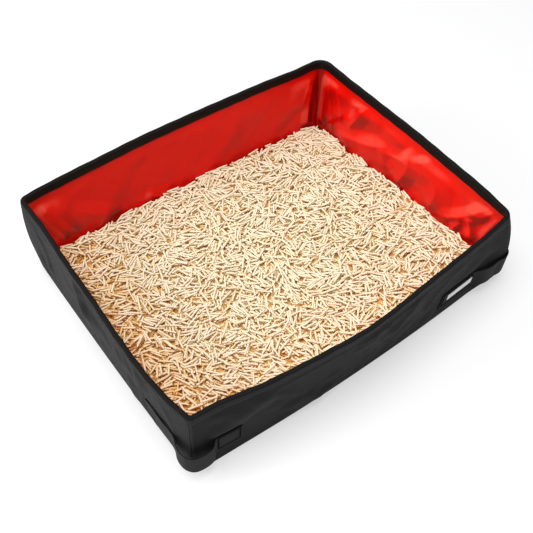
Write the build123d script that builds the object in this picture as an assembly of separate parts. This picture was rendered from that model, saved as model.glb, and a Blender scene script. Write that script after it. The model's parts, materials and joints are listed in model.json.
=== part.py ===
from build123d import *
import math
import os

os.makedirs("parts", exist_ok=True)

# Foldable litter box: a fabric tray of black woven cloth, stiffened by thin boards and lined with coated cloth.
# X runs along the long front and rear walls, Y runs along the short left and right walls, and Z points up.
# The front wall faces -Y. All four walls fold inwards, and each short wall has a gusset at both of its ends.

# Tray
tray_length = 560.0  # corner to corner along X, outside the cloth
tray_width = 435.0  # corner to corner along Y
rim_height = 152.0  # floor to the top of the binding
corner_radius = 10.0  # outside, in plan

# Cloth, boards and the clearances between them
outer_t = 1.2
board_t = 2.4
lining_t = 0.8
layer_gap = 0.3
seam_gap = 0.4  # between pieces that are sewn edge to edge
wall_t = outer_t + board_t + lining_t + 2 * layer_gap

# How far the middle of each wall bellies out from its corners, at the floor and at the rim
front_bow_low = 6.5
front_bow_top = 26.0
rear_bow_low = 1.5
rear_bow_top = 13.0
left_bow_low = 1.2
left_bow_top = 9.0
right_bow_low = 1.2
right_bow_top = 6.0

# Fold lines
short_hinge_height = 7.0  # left and right walls fold first, so they hinge lowest
fold_clearance = 1.5
return_clearance = 0.6  # beside the long walls' corner returns, where they swing down past the base

# Rim binding
binding_t = 1.0
binding_drop = 14.0  # how far the tape comes down each side of the rim
binding_gap = 0.3

# Boards
board_margin = 4.0  # from a board's edge to the seam around its pocket
middle_crease = 5.0  # gap between the two halves of a long board, where the box folds in half
crease_offset = 10.0  # the crease lies this far right of the middle

# Lining folds
lining_fold_low = 4.0  # height of the deepest fold, just above the floor
lining_fold_top = 0.5  # at the rim
front_fold_shares = (0.45, 0.8, 0.5, 0.9, 0.4)
rear_fold_shares = (0.7, 0.4, 0.9, 0.5, 0.8, 0.6)
left_fold_shares = (0.8, 0.5, 1.0, 0.6)
right_fold_shares = (0.5, 0.8, 0.9, 0.6)

# Straps at the two front corners: webbing sewn flat to the walls, with a slack loop round the corner
strap_t = 1.4
strap_width = 37.0
strap_low = 31.5
strap_seat_gap = 0.2
loop_start = 34.0  # distance from the corner at which the webbing leaves the long wall
patch_length = 38.5  # stretch that is sewn flat to the long wall
label_patch_start = 58.0  # front right corner, where the patch is longer
label_patch_length = 70.0
tab_start = 84.0  # distance from the corner at which the webbing meets the short wall
tab_length = 14.0
loop_end = 38.0  # distance from the corner at which the slack is back at the short wall
loop_end_gap = 0.6

# Each loop's way round its corner, as distances in from the corner along the long and the short wall.
# Less than nothing is outside the box.
left_loop_way = ((25.0, -12.3), (12.0, -14.6), (-5.8, -7.2), (-13.0, 9.5), (-9.5, 22.0))
right_loop_way = ((44.0, -11.0), (16.0, -9.0), (-5.2, -5.6), (-13.0, 10.5), (-9.5, 23.0))

# Blank label on the front right strap
tag_length = 54.0
tag_height = 13.0
tag_up = 16.0  # above the strap's lower edge
tag_shift = 4.5  # from the patch's middle towards the corner
tag_t = 0.5

# Seam tape up each corner
seam_width = 6.0
seam_t = 1.6
seam_round = 0.7

# Gussets
diagonal_gap = 1.2
gusset_start = 14.0  # height above the short hinge where the gusset is wide enough to be a piece

# Litter, deeper towards the front right. It fills the floor up to the folds of the lining.
litter_rear_heights = (20.0, 21.0, 12.0)  # left, middle, right
litter_middle_heights = (31.0, 33.0, 29.0)
litter_front_heights = (35.0, 38.0, 44.0)
litter_corner_radius = 9.0
litter_stick_length = 20.0  # a few of the pressed sticks, lying on the heap
litter_stick_radius = 2.0
litter_stick_pitch = 33.0
litter_stick_turn = 137.5  # degrees from one stick to the next

levels = 4  # a layer's sections are joined by this many straight lengths
overrun = 5.0  # for cuts

floor_t = outer_t + board_t + lining_t
long_hinge_height = short_hinge_height + corner_radius + strap_t + left_bow_low + fold_clearance
panel_top = rim_height - binding_t - binding_gap
short_low = short_hinge_height + layer_gap
long_low = long_hinge_height + layer_gap
short_edge = short_hinge_height - layer_gap
long_edge = long_hinge_height - layer_gap
return_edge = long_edge - (corner_radius - wall_t) - fold_clearance

half_length = tray_length / 2
half_width = tray_width / 2

WALLS = {
    "front": dict(
        along=Vector(1, 0), out=Vector(0, -1), half=half_length, reach=half_width,
        bow_low=front_bow_low, bow_top=front_bow_top, fold_shares=front_fold_shares,
    ),
    "rear": dict(
        along=Vector(1, 0), out=Vector(0, 1), half=half_length, reach=half_width,
        bow_low=rear_bow_low, bow_top=rear_bow_top, fold_shares=rear_fold_shares,
    ),
    "left": dict(
        along=Vector(0, 1), out=Vector(-1, 0), half=half_width, reach=half_length,
        bow_low=left_bow_low, bow_top=left_bow_top, fold_shares=left_fold_shares,
    ),
    "right": dict(
        along=Vector(0, 1), out=Vector(1, 0), half=half_width, reach=half_length,
        bow_low=right_bow_low, bow_top=right_bow_top, fold_shares=right_fold_shares,
    ),
}


def place(wall, u, out, z):
    """A point u along the wall from its middle and out from the tray's centre, at height z."""
    return wall["along"] * u + wall["out"] * out + Vector(0, 0, z)


def bow(wall, z):
    """How far the wall's middle bellies out at height z."""
    return wall["bow_low"] + (wall["bow_top"] - wall["bow_low"]) * z / rim_height


def straight_half(wall):
    """Half of the wall's length between its rounded corners."""
    return wall["half"] - corner_radius


def belly(wall, u, z):
    """How far the wall stands out past its corners at u and z."""
    return bow(wall, z) * (1 - (u / straight_half(wall)) ** 2)


def on_wall(wall, u, inset, z):
    """A point at a depth of inset behind the wall's outer face."""
    return place(wall, u, wall["reach"] - inset + belly(wall, u, z), z)


def arc_on_wall(wall, start, end, inset, z):
    middle = (start + end) / 2
    return ThreePointArc(
        on_wall(wall, start, inset, z), on_wall(wall, middle, inset, z), on_wall(wall, end, inset, z)
    )


def folded_edges(wall, start, end, inset, z, depth):
    """Arcs from start to end, one for each fold, that rise inwards from a face at inset."""
    shares = wall["fold_shares"]
    edges = []
    for turn, share in enumerate(shares):
        first = start + (end - start) * turn / len(shares)
        last = start + (end - start) * (turn + 1) / len(shares)
        crest = on_wall(wall, (first + last) / 2, inset + depth * share, z)
        edges.append(ThreePointArc(on_wall(wall, first, inset, z), crest, on_wall(wall, last, inset, z)))
    return edges


def band_face(wall, z, start, end, outside, inside, fold_depth=0):
    """Plan section of a flat stretch of one layer, from u = start to end."""
    if fold_depth:
        inner = folded_edges(wall, end, start, inside, z, fold_depth)
    else:
        inner = [arc_on_wall(wall, end, start, inside, z)]
    outer = arc_on_wall(wall, start, end, outside, z)
    return make_face([
        outer,
        Line(outer @ 1, inner[0] @ 0),
        *inner,
        Line(inner[-1] @ 1, outer @ 0),
    ])


def band(wall, low, high, spans, outside, inside, folds=False):
    """One layer between two heights. spans(z) gives where it starts and ends along the wall."""
    sections = []
    for level in range(levels + 1):
        z = low + (high - low) * level / levels
        depth = 0
        if folds:
            depth = lining_fold_low + (lining_fold_top - lining_fold_low) * z / rim_height
        sections.append(band_face(wall, z, *spans(z), outside, inside, depth))
    return loft(sections, ruled=True)


def cornered_edges(wall, z, inset, backwards=False):
    """The wall's plan line with its two rounded corners, at a depth of inset."""
    straight = straight_half(wall)
    centre_out = wall["reach"] - corner_radius
    radius = corner_radius - inset
    slant = radius * math.sqrt(0.5)
    ends = []
    for side in (-1, 1):
        ends.append((
            place(wall, side * (straight + radius), centre_out, z),
            place(wall, side * (straight + slant), centre_out + slant, z),
            place(wall, side * straight, centre_out + radius, z),
        ))
    middle = place(wall, 0, centre_out + radius + bow(wall, z), z)
    points = [*ends[0], middle, *reversed(ends[1])]
    if backwards:
        points.reverse()
    return [ThreePointArc(*points[n:n + 3]) for n in (0, 2, 4)]


def cornered_face(wall, z, outside, inside, tail=0):
    """Plan section of a layer that turns both corners. A tail lengthens its ends, for a cut."""
    outer = cornered_edges(wall, z, outside)
    inner = cornered_edges(wall, z, inside, backwards=True)
    joins = []
    for last, first in ((outer[-1] @ 1, inner[0] @ 0), (inner[-1] @ 1, outer[0] @ 0)):
        if tail:
            back = wall["out"] * -tail
            joins.append([Line(last, last + back), Line(last + back, first + back), Line(first + back, first)])
        else:
            joins.append([Line(last, first)])
    return make_face([*outer, *joins[0], *inner, *joins[1]])


def cornered_band(wall, low, high, outside, inside, tail=0):
    return loft([cornered_face(wall, z, outside, inside, tail) for z in (low, high)], ruled=True)


def short_end(z):
    """Half of a short wall's stiff length at height z. Its ends slope like a mitre, for the gussets."""
    low_end = half_width - corner_radius - diagonal_gap
    top_end = half_width - wall_t - (rim_height - long_hinge_height)
    return low_end + (top_end - low_end) * (z - short_low) / (rim_height - short_low)


def middle_span(z):
    return -short_end(z), short_end(z)


def gusset_span(side):
    """The triangle between a short wall's sloping end and the corner, at the +Y or -Y end."""
    def span(z):
        near = short_end(z) + diagonal_gap
        far = half_width - corner_radius - seam_gap
        return side * near, side * far
    return span


def channel(wall, span=None):
    """Binding tape folded over the rim: a block with a slot for the wall's layers."""
    low = rim_height - binding_drop
    slot_low = low - overrun
    slot_high = rim_height - binding_t
    outside, inside = -binding_t, wall_t + binding_t
    if span is None:
        block = cornered_band(wall, low, rim_height, outside, inside)
        slot = cornered_band(wall, slot_low, slot_high, -binding_gap, wall_t + binding_gap, overrun)
        return block - slot
    block = band(wall, low, rim_height, span, outside, inside)

    def longer(z):
        start, end = span(z)
        way = math.copysign(overrun, end - start)
        return start - way, end + way

    slot = band(wall, slot_low, slot_high, longer, -binding_gap, wall_t + binding_gap)
    return block - slot


def outline_face(inset, z):
    """Plan of the whole tray at height z, at a depth of inset behind the outer faces."""
    front, rear, left, right = (WALLS[name] for name in ("front", "rear", "left", "right"))
    corners = cornered_edges(front, z, inset) + cornered_edges(rear, z, inset, backwards=True)
    sides = []
    for wall in (right, left):
        straight = straight_half(wall)
        way = 1 if wall is right else -1
        sides.append(arc_on_wall(wall, -way * straight, way * straight, inset, z))
    return make_face([*corners[:3], sides[0], *corners[3:], sides[1]])


def tray(low, high, inset, thickness, corner_edge):
    """A shallow cloth tray: a sheet with an upstand that is lowest along the short walls. The long walls' returns
    swing down inside their fold lines, so the upstand is lower there too."""
    solid = loft([outline_face(inset, low), outline_face(inset, long_edge)], ruled=True)
    hollow = loft([outline_face(inset + thickness, high), outline_face(inset + thickness, long_edge + overrun)],
                  ruled=True)
    shell = solid - hollow
    notches = (
        (straight_half(WALLS["left"]) - diagonal_gap, short_edge),
        (half_width - wall_t + return_clearance, corner_edge),
    )
    for reach, edge in notches:
        notch = Box(2 * overrun + 2 * wall_t, 2 * reach, long_edge - edge + overrun,
                    align=(Align.CENTER, Align.CENTER, Align.MIN))
        for side in (-1, 1):
            shell = shell - notch.moved(Location((side * (half_length - wall_t / 2), 0, edge)))
    return shell


def base_board(side):
    """Half of the base board, on one side of the middle crease."""
    inset = wall_t + board_margin
    whole = outline_face(inset, outer_t)
    half = extrude(whole, board_t)
    keep = Box(tray_length, tray_width, 2 * floor_t)
    edge = crease_offset + side * (middle_crease + tray_length) / 2
    return half & keep.moved(Location((edge, 0, outer_t)))


def crease_span(side, wall):
    """Half of a long wall's board, on one side of the middle crease."""
    end = straight_half(wall) - board_margin
    near = crease_offset + side * middle_crease / 2
    return lambda z: (near, side * end)


def litter_section(x_share, heights):
    """Cross section of the litter on a plane across the tray."""
    x = x_share * half_length
    reach = half_width
    low = Vector(x, -reach, floor_t), Vector(x, reach, floor_t)
    front, middle, rear = (Vector(x, y, z) for y, z in zip((-reach, 0, reach), heights))
    return make_face([
        Line(low[1], low[0]), Line(low[0], front), ThreePointArc(front, middle, rear), Line(rear, low[1]),
    ])


def through(heights, share):
    """Height on the curve through three heights, which are at the shares -1, 0 and 1."""
    low, middle, high = heights
    return middle + (high - low) / 2 * share + ((low + high) / 2 - middle) * share**2


def on_litter(place):
    """The point of the litter's surface above a place."""
    rows = litter_front_heights, litter_middle_heights, litter_rear_heights
    heights = [through(row, place.X / half_length) for row in rows]
    return Vector(place.X, place.Y, through(heights, place.Y / half_width))


def litter_stick(number, place):
    """A stick half sunk in the litter, each turned against the last."""
    turn = math.radians(number * litter_stick_turn)
    reach = Vector(math.cos(turn), math.sin(turn)) * litter_stick_length / 2
    start, end = on_litter(place - reach), on_litter(place + reach)
    upwards = (Align.CENTER, Align.CENTER, Align.MIN)
    stick = Cylinder(litter_stick_radius, (end - start).length, align=upwards)
    return Plane(start, z_dir=end - start) * stick


def litter_bed():
    stations = zip((-1, 0, 1), zip(litter_front_heights, litter_middle_heights, litter_rear_heights))
    heap = loft([litter_section(x_share, heights) for x_share, heights in stations])
    inset = wall_t + lining_fold_low
    length, width = tray_length - 2 * inset, tray_width - 2 * inset
    plan = RectangleRounded(length, width, litter_corner_radius)
    columns, rows = (int((side - litter_stick_length) / litter_stick_pitch) + 1 for side in (length, width))
    places = GridLocations(litter_stick_pitch, litter_stick_pitch, columns, rows)
    sticks = [litter_stick(number, place.position) for number, place in enumerate(places)]
    return (heap & extrude(plan, rim_height)) + sticks


def strap_patch(x_side, start, length):
    """Webbing sewn flat to the front wall, start from the corner at the +X or -X end."""
    wall = WALLS["front"]
    far = x_side * (wall["half"] - start - seam_gap)
    near = x_side * (wall["half"] - start - length)
    return band(wall, strap_low, strap_low + strap_width, lambda z: (near, far),
                -strap_seat_gap - strap_t, -strap_seat_gap)


def strap_tab(name):
    """The webbing's other end, sewn flat to a short wall near its front end."""
    wall = WALLS[name]
    near = -(wall["half"] - tab_start - tab_length)
    far = -(wall["half"] - tab_start - seam_gap)
    return band(wall, strap_low, strap_low + strap_width, lambda z: (near, far),
                -strap_seat_gap - strap_t, -strap_seat_gap)


def strap_loop(name, start, way):
    """The slack loop round a front corner, from the patch on the front wall to the tab on the short wall."""
    long_wall, short_wall = WALLS["front"], WALLS[name]
    x_side = short_wall["out"].X
    top = strap_low + strap_width
    stand_off = strap_seat_gap + strap_t / 2 + layer_gap
    long_out = belly(long_wall, long_wall["half"] - start, top) + stand_off
    back_out = belly(short_wall, short_wall["half"] - loop_end, top) + stand_off + loop_end_gap
    short_out = belly(short_wall, short_wall["half"] - tab_start, top) + stand_off

    def at(along_long, along_short):
        return Vector(x_side * (half_length - along_long), along_short - half_width, strap_low)

    turns = [at(start - strap_t / 2, -long_out), *(at(*point) for point in way), at(-back_out, loop_end)]
    ribbon = trace(Line(turns[-1], at(-short_out, tab_start - strap_t / 2)), strap_t)
    for first in (0, 2, 4):
        ribbon += trace(ThreePointArc(*turns[first:first + 3]), strap_t)
    return extrude(ribbon, strap_width, dir=(0, 0, 1))


def corner_seam(x_side, y_side):
    """Seam tape up the outside of one corner, where the wall and gusset cloths are sewn together."""
    low = long_low + seam_gap
    high = rim_height - binding_drop - seam_gap
    section = RectangleRounded(seam_t, seam_width, seam_round)
    reach = corner_radius + layer_gap + seam_t / 2
    centre = Vector(x_side * (half_length - corner_radius), y_side * (half_width - corner_radius), low)
    outwards = Vector(x_side, y_side).normalized()
    turn = math.degrees(math.atan2(y_side, x_side))
    return extrude(section, high - low).moved(Location(centre + outwards * reach, (0, 0, turn)))


def blank_tag():
    """A plain label sewn on the front right strap."""
    wall = WALLS["front"]
    middle = wall["half"] - label_patch_start - label_patch_length / 2 + tag_shift
    low = strap_low + tag_up
    seat = -2 * strap_seat_gap - strap_t
    return band(wall, low, low + tag_height,
                lambda z: (middle - tag_length / 2, middle + tag_length / 2), seat - tag_t, seat)


pieces = {}

# Base
pieces["base_outer"] = tray(0, outer_t, 0, outer_t, return_edge)
pieces["base_board_left"] = base_board(-1)
pieces["base_board_right"] = base_board(1)
pieces["lining_floor"] = tray(outer_t + board_t, floor_t, wall_t - lining_t, lining_t, long_edge)
pieces["litter_bed"] = litter_bed()

# Long walls
board_out = outer_t + layer_gap
lining_out = board_out + board_t + layer_gap
for name in ("front", "rear"):
    wall = WALLS[name]
    pieces[f"{name}_outer_panel"] = cornered_band(wall, long_low, panel_top, 0, outer_t)
    for side, label in ((-1, "left"), (1, "right")):
        pieces[f"{name}_board_{label}"] = band(
            wall, long_low + board_margin, panel_top - board_margin, crease_span(side, wall),
            board_out, board_out + board_t,
        )
    lining_end = straight_half(wall) - layer_gap
    pieces[f"{name}_lining"] = band(
        wall, long_low, panel_top - binding_drop, lambda z: (-lining_end, lining_end),
        lining_out, wall_t, folds=True,
    )
    pieces[f"{name}_rim_binding"] = channel(wall)

# Short walls and their gussets
for name in ("left", "right"):
    wall = WALLS[name]
    pieces[f"{name}_outer_panel"] = band(wall, short_low, panel_top, middle_span, 0, outer_t)

    def board_span(z):
        end = short_end(z) - board_margin
        return -end, end

    pieces[f"{name}_board"] = band(
        wall, short_low + board_margin, panel_top - board_margin, board_span, board_out, board_out + board_t
    )
    pieces[f"{name}_lining"] = band(
        wall, short_low, panel_top - binding_drop, middle_span, lining_out, wall_t, folds=True
    )
    pieces[f"{name}_rim_binding"] = channel(wall, middle_span)
    for side, end_name in ((-1, "front"), (1, "rear")):
        span = gusset_span(side)
        low = short_low + gusset_start
        corner = f"{end_name}_{name}"
        pieces[f"{corner}_gusset_outer"] = band(wall, low, panel_top, span, 0, outer_t)
        pieces[f"{corner}_gusset_lining"] = band(
            wall, low, panel_top - binding_drop, span, wall_t - lining_t, wall_t
        )
        pieces[f"{corner}_gusset_binding"] = channel(wall, span)

# Corner seams and the straps round the front corners
for long_name in ("front", "rear"):
    for short_name in ("left", "right"):
        x_side = WALLS[short_name]["out"].X
        y_side = WALLS[long_name]["out"].Y
        pieces[f"{long_name}_{short_name}_corner_seam"] = corner_seam(x_side, y_side)
for short_name, start, length, way in (
    ("left", loop_start, patch_length, left_loop_way),
    ("right", label_patch_start, label_patch_length, right_loop_way),
):
    x_side = WALLS[short_name]["out"].X
    pieces[f"front_{short_name}_strap_patch"] = strap_patch(x_side, start, length)
    pieces[f"front_{short_name}_strap_tab"] = strap_tab(short_name)
    pieces[f"front_{short_name}_strap_loop"] = strap_loop(short_name, start, way)
pieces["blank_tag"] = blank_tag()

# The origin is the middle of the footprint of the whole box, on the floor
boxes = [piece.bounding_box() for piece in pieces.values()]
low_x, high_x = min(box.min.X for box in boxes), max(box.max.X for box in boxes)
low_y, high_y = min(box.min.Y for box in boxes), max(box.max.Y for box in boxes)
to_origin = Vector(-(low_x + high_x) / 2, -(low_y + high_y) / 2, 0)
for name, piece in pieces.items():
    export_step(piece.moved(Location(to_origin)), f"parts/{name}.step")

# Fold lines, for the record
inner_x = half_length - wall_t
inner_y = half_width - wall_t
print("gusset_hinge_x", to_origin.X - inner_x, to_origin.X + inner_x)
print("front_fold", to_origin + Vector(0, -inner_y, long_hinge_height))
print("rear_fold", to_origin + Vector(0, inner_y, long_hinge_height))
print("left_fold", to_origin + Vector(-inner_x, 0, short_hinge_height))
print("right_fold", to_origin + Vector(inner_x, 0, short_hinge_height))
print("size", high_x - low_x, high_y - low_y, rim_height)
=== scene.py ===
import json
import math
import random

import bmesh
import bpy
import numpy as np
from mathutils import Matrix, Vector


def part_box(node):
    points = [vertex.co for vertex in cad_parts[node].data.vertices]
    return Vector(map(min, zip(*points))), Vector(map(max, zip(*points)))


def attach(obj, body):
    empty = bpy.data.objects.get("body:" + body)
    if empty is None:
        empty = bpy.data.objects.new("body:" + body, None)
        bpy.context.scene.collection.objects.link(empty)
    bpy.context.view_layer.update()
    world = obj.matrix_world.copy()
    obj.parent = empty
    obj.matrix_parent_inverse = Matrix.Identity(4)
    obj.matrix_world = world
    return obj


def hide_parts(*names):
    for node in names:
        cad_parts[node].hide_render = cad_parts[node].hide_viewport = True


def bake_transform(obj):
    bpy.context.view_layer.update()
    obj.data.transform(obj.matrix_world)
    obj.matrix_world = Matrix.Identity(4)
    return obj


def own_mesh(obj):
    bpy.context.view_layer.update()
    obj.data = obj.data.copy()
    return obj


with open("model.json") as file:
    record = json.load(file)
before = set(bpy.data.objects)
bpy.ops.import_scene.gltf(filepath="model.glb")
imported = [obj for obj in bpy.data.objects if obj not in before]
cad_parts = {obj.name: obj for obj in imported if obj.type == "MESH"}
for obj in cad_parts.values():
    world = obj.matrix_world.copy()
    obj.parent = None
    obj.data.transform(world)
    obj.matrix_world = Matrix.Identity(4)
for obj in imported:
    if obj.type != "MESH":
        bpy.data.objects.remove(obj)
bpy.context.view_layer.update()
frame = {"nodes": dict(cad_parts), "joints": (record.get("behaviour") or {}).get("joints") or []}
print("frame loaded with", len(frame["nodes"]), "pieces")

# The tray, read from the frame. Lengths are metres throughout
panelLow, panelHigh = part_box("front_outer_panel")
sideLow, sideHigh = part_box("left_outer_panel")
sideTapeLow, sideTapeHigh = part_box("left_rim_binding")
hinges = {joint["name"]: Vector(joint["pos_m"]) for joint in frame["joints"]}

tray = {
    "middle": Vector(((panelLow.x + panelHigh.x) / 2, (sideLow.y + sideHigh.y) / 2, 0)),
    "halfLength": (panelHigh.x - panelLow.x) / 2,
    "rim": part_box("front_rim_binding")[1].z,
    "lowCornerRadius": 0.010, "roundsFrom": 0.2,  # the corners widen above this share of the height
    "cornerZone": 0.00785,  # stretch of cloth at each end of a wall that turns the corner
    "hem": 0.0045,  # radius of the turn under the base
    "clothThick": 0.0012, "liningThick": 0.0008, "floor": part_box("lining_floor")[0].z, "gap": 0.0003,
}
tray["wallThick"] = tray["middle"].x + tray["halfLength"] - hinges["right_wall_fold"].x
tray["halfWidth"] = tray["middle"].y - hinges["front_wall_fold"].y + tray["wallThick"]
tray["longHinge"] = hinges["front_wall_fold"].z

# A gusset meets its short wall on this sloping line, given as distance from the wall's middle and height
gussetLine = {
    "low": ((sideHigh.y - sideLow.y) / 2, sideLow.z),
    "high": ((sideTapeHigh.y - sideTapeLow.y) / 2, sideTapeLow.z),
    "cornerTop": tray["longHinge"] + tray["gap"],  # the corner of the base reaches up to here
}

# How each wall stands out between its corners: (share of the half length, share of the bow). Along, seen
# from outside, runs to the right, and rounds are the rim's radii at its left and right ends
plainBow = ((-1, 0), (0, 1), (1, 0))
walls = {
    "front": {
        "along": (1, 0), "out": (0, -1), "half": tray["halfLength"], "reach": tray["halfWidth"],
        "rounds": (0.009, 0.017), "rimBow": 0.0285, "floorBow": 0.0088,
        "rimShape": ((-1, 0), (-0.9, 0.06), (-0.8, 0.22), (-0.68, 0.46), (-0.5, 0.68), (-0.3, 0.86),
                     (-0.08, 1), (0.08, 0.93), (0.36, 0.68), (0.65, 0.43), (0.88, 0.2), (1, 0)),
        "floorShape": ((-1, 0), (-0.75, 0.38), (-0.4, 0.85), (0, 1), (0.4, 0.85), (0.75, 0.45), (1, 0)),
    },
    "right": {
        "along": (0, 1), "out": (1, 0), "half": tray["halfWidth"], "reach": tray["halfLength"],
        "rounds": (0.017, 0.024), "rimBow": 0.0068, "floorBow": 0.0012, "floorShape": plainBow,
        "rimShape": ((-1, 0), (-0.8, 0.6), (-0.4, 0.85), (-0.1, 1), (0.4, 0.7), (0.6, 0.6), (0.8, 0.34),
                     (1, 0)),
    },
    "rear": {
        "along": (-1, 0), "out": (0, 1), "half": tray["halfLength"], "reach": tray["halfWidth"],
        "rounds": (0.024, 0.011), "rimBow": 0.0128, "floorBow": 0.0015, "floorShape": plainBow,
        "rimShape": ((-1, 0), (-0.86, 0.12), (-0.7, 0.5), (-0.4, 0.76), (0, 0.97), (0.28, 1), (0.54, 0.76),
                     (0.8, 0.5), (0.93, 0.24), (1, 0)),
    },
    "left": {
        "along": (0, -1), "out": (-1, 0), "half": tray["halfWidth"], "reach": tray["halfLength"],
        "rounds": (0.011, 0.009), "rimBow": 0.0095, "floorBow": 0.0015, "floorShape": plainBow,
        "rimShape": ((-1, 0), (-0.7, 0.1), (-0.4, 0.45), (0, 0.68), (0.35, 1), (0.68, 0.97), (0.88, 0.5),
                     (1, 0)),
    },
}
longWalls, shortWalls = ("front", "rear"), ("left", "right")
rightEnd = {"left": "front", "right": "rear"}  # the long wall at the right end of a short wall, from outside


def smoothCurve(points, at):  # cubic through the points, in one dimension
    xs, ys = (np.array(values, float) for values in zip(*points))
    slopes = np.gradient(ys, xs)
    at = np.clip(at, xs[0], xs[-1])
    index = np.clip(np.searchsorted(xs, at) - 1, 0, len(xs) - 2)
    width = xs[index + 1] - xs[index]
    t = (at - xs[index]) / width
    rise = ys[index + 1] - ys[index]
    startSlope, endSlope = slopes[index] * width, slopes[index + 1] * width
    return ys[index] + t * startSlope + t * t * (3 * rise - 2 * startSlope - endSlope) \
        + t * t * t * (startSlope + endSlope - 2 * rise)


def smoothStep(low, high, value):
    t = np.clip((value - low) / (high - low), 0, 1)
    return t * t * (3 - 2 * t)


def standOut(wall, across, up):  # how far a wall bellies out, across as a share of its half length
    share = np.clip(up / tray["rim"], 0, 1)
    atFloor = wall["floorBow"] * smoothCurve(wall["floorShape"], across)
    atRim = wall["rimBow"] * smoothCurve(wall["rimShape"], across)
    return atFloor + (atRim - atFloor) * share


def cornerRadius(wall, across, up):
    low, high = tray["lowCornerRadius"], np.where(across < 0, *wall["rounds"])
    return low + (high - low) * smoothStep(tray["roundsFrom"], 1, up / tray["rim"])


# Corners that lean out: which corner, how far, where it begins as a share of the half length and half
# width, and how much of it there is at each height
leans = [
    {"corner": (1, -1), "most": (0.0112, -0.0100), "from": (0.8, 0.7), "shape": (
        (0, 0.2), (0.01, 0.65), (0.02, 0.9), (0.035, 1), (0.08, 1), (0.1, 0.86), (0.12, 0.62), (0.152, 0))},
    {"corner": (1, 1), "most": (0.004, 0.0035), "from": (0.6, 0.6), "shape": (
        (0, 0), (0.05, 0.3), (0.152, 1))},
    {"corner": (-1, 1), "most": (-0.0042, 0.0038), "from": (0.75, 0.7), "shape": (
        (0, -0.3), (0.03, 0.3), (0.07, 1), (0.11, 1), (0.152, 0.35))},
]


def leaning(x, y, up):  # how far the corners move a point, along x and y
    total = [0, 0]
    x, y = (x - tray["middle"].x) / tray["halfLength"], (y - tray["middle"].y) / tray["halfWidth"]
    for lean in leans:
        share = smoothStep(lean["from"][0], 1, lean["corner"][0] * x)
        share = share * smoothStep(lean["from"][1], 1, lean["corner"][1] * y) * smoothCurve(lean["shape"], up)
        total = [total[n] + lean["most"][n] * share for n in (0, 1)]
    return total


def onWall(wall, across, up, depth, radius=None):  # a point on a wall, depth metres behind its outer face
    across, up = np.asarray(across, float), np.asarray(up, float)
    radius = cornerRadius(wall, across, up) if radius is None else radius
    flatHalf = wall["half"] - tray["cornerZone"]
    share = np.clip(across / flatHalf, -1, 1)
    turn = np.clip((np.abs(across) - flatHalf) / tray["cornerZone"], 0, 2) * math.pi / 4
    reach = radius - depth
    u = share * (wall["half"] - radius) + np.sign(across) * reach * np.sin(turn)
    o = wall["reach"] - radius + reach * np.cos(turn) + standOut(wall, share, up)
    along, out = wall["along"], wall["out"]
    x = tray["middle"].x + along[0] * u + out[0] * o
    y = tray["middle"].y + along[1] * u + out[1] * o
    moveX, moveY = leaning(x, y, up)
    return np.stack([x + moveX, y + moveY, np.broadcast_to(up, u.shape)], axis=1)


# Folds and waves that a sheet has besides its wall's bow
class Waves:
    def __init__(self, seed, count, shortest, longest, height):
        dice = random.Random(seed)
        self.terms = []
        for turn in range(count):
            size = shortest * (longest / shortest) ** dice.random()
            angle = dice.uniform(0, math.pi)
            push = 2 * math.pi / size
            self.terms.append((push * math.cos(angle), push * math.sin(angle), dice.uniform(0, 2 * math.pi),
                               height * size / longest))

    def at(self, across, up):
        total = np.zeros(np.shape(across))
        for x, y, phase, height in self.terms:
            total = total + height * np.sin(x * across + y * up + phase)
        return total


creaseShape = {"bend": 0.009, "bendUp": 41, "bendAcross": 13, "blunt": 0.012}


class Creases(Waves):  # sharp crests with wide hollows between them, as in a stiff coated cloth
    def at(self, across, up):
        bend = np.sin(up * creaseShape["bendUp"] + across * creaseShape["bendAcross"])
        bent = across + creaseShape["bend"] * bend
        total = np.zeros(np.shape(across))
        for x, y, phase, height in self.terms:
            swing = np.sin(x * bent + y * up + phase)
            total = total + height * (1 - np.sqrt(swing ** 2 + creaseShape["blunt"]))
        return total


crest = {"stations": 24, "blunt": 0.0008, "curved": 0.6, "foot": 1.6}  # foot is in widths, on a sharp fold


def softFold(height, width, *points, lean=1, fade=0.25, sharp=False, scale=1):  # all in millimetres
    return {"points": np.array(points, float) * scale / 1000, "height": height / 1000, "width": width / 1000,
            "lean": lean, "fade": fade, "sharp": sharp}


def foldRise(fold, across, up):  # height of one fold's crest, which follows a curve through its points
    points = fold["points"]
    stations = np.linspace(0, len(points) - 1, crest["stations"])
    line = np.stack([smoothCurve(list(enumerate(points[:, axis])), stations) for axis in (0, 1)], axis=1)
    best, along, side = (np.full(np.shape(across), value) for value in (np.inf, 0.0, 0.0))
    for n in range(len(line) - 1):
        start, step = line[n], line[n + 1] - line[n]
        t = np.clip(((across - start[0]) * step[0] + (up - start[1]) * step[1]) / float(step @ step), 0, 1)
        dx, dy = across - start[0] - t * step[0], up - start[1] - t * step[1]
        away = np.hypot(dx, dy)
        near = away < best
        best = np.where(near, away, best)
        along = np.where(near, (n + t) / (len(line) - 1), along)
        side = np.where(near, np.sign(step[0] * dy - step[1] * dx), side)
    width = fold["width"] * np.where(side > 0, fold["lean"], 1)
    rise = fold["height"] * smoothStep(0, fold["fade"], along) * smoothStep(0, fold["fade"], 1 - along)
    if fold["sharp"]:  # a sharp crest between flat sides, as a coated cloth has
        away = np.hypot(best, crest["blunt"]) - crest["blunt"]
        flat = np.maximum(1 - away / width / crest["foot"], 0)
        return rise * (crest["curved"] * np.exp(-away / width) + (1 - crest["curved"]) * flat)
    return rise / (1 + (best / width) ** 2) ** 1.5


# Pieces
def show(name, data):
    shown = bpy.data.objects.new(name, data)
    bpy.context.scene.collection.objects.link(shown)
    return shown


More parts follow.
